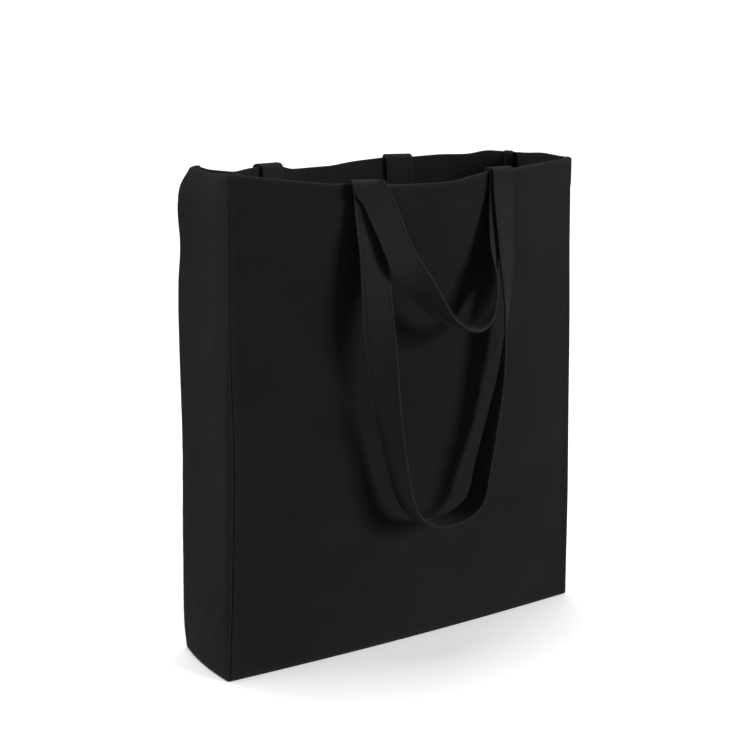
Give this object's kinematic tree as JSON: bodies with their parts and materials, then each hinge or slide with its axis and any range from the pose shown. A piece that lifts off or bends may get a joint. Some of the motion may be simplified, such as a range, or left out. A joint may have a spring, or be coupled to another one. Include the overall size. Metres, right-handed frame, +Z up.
{
  "type": "tote bag",
  "caption": "Open-topped canvas tote bag with side gussets, a turned hem, and a short and a long handle on each wide face.",
  "frame": {"origin": "on the ground under the middle of the base", "axes": "+X along the wide faces, +Y from the front face to the back face, +Z up through the mouth"},
  "size_m": [0.36, 0.2465, 0.416],
  "materials": {
    "canvas": "matte close-woven cotton canvas, dyed black",
    "gusset_canvas": "matte cotton canvas cut across the other way, dyed black",
    "strap_cloth": "folded and stitched cotton strap, dyed black",
    "thread": "black sewing thread"
  },
  "bodies": {
    "bag": {"front_panel": "canvas", "back_panel": "canvas", "bottom_panel": "canvas", "left_gusset": "gusset_canvas", "right_gusset": "gusset_canvas", "front_long_strap_ends": "strap_cloth", "front_short_strap_ends": "strap_cloth", "back_long_strap_ends": "strap_cloth", "back_short_strap_ends": "strap_cloth", "hem_stitching": "thread", "base_stitching": "thread", "front_left_seam_stitching": "thread", "front_right_seam_stitching": "thread", "back_left_seam_stitching": "thread", "back_right_seam_stitching": "thread", "front_left_foot_stitching": "thread", "front_right_foot_stitching": "thread", "back_left_foot_stitching": "thread", "back_right_foot_stitching": "thread"},
    "front_long": {"front_long_handle": "strap_cloth"},
    "front_short": {"front_short_handle": "strap_cloth"},
    "back_long": {"back_long_handle": "strap_cloth"},
    "back_short": {"back_short_handle": "strap_cloth"}
  },
  "joints": [
    {"name": "front_long_swing", "type": "hinge", "parent": "bag", "child": "front_long", "pos_m": [0, -0.07463, 0.41353], "axis": [-1, 0, 0], "range_deg": [0, 175]},
    {"name": "front_short_swing", "type": "hinge", "parent": "bag", "child": "front_short", "pos_m": [0, -0.07463, 0.41353], "axis": [-1, 0, 0], "range_deg": [0, 175]},
    {"name": "back_long_swing", "type": "hinge", "parent": "bag", "child": "back_long", "pos_m": [0, 0.08577, 0.41353], "axis": [1, 0, 0], "range_deg": [0, 175]},
    {"name": "back_short_swing", "type": "hinge", "parent": "bag", "child": "back_short", "pos_m": [0, 0.08577, 0.41353], "axis": [1, 0, 0], "range_deg": [0, 175]}
  ],
  "couplings": [
    {"joint": "front_short_swing", "follows": "front_long_swing", "ratio": 1},
    {"joint": "back_short_swing", "follows": "back_long_swing", "ratio": 1}
  ]
}
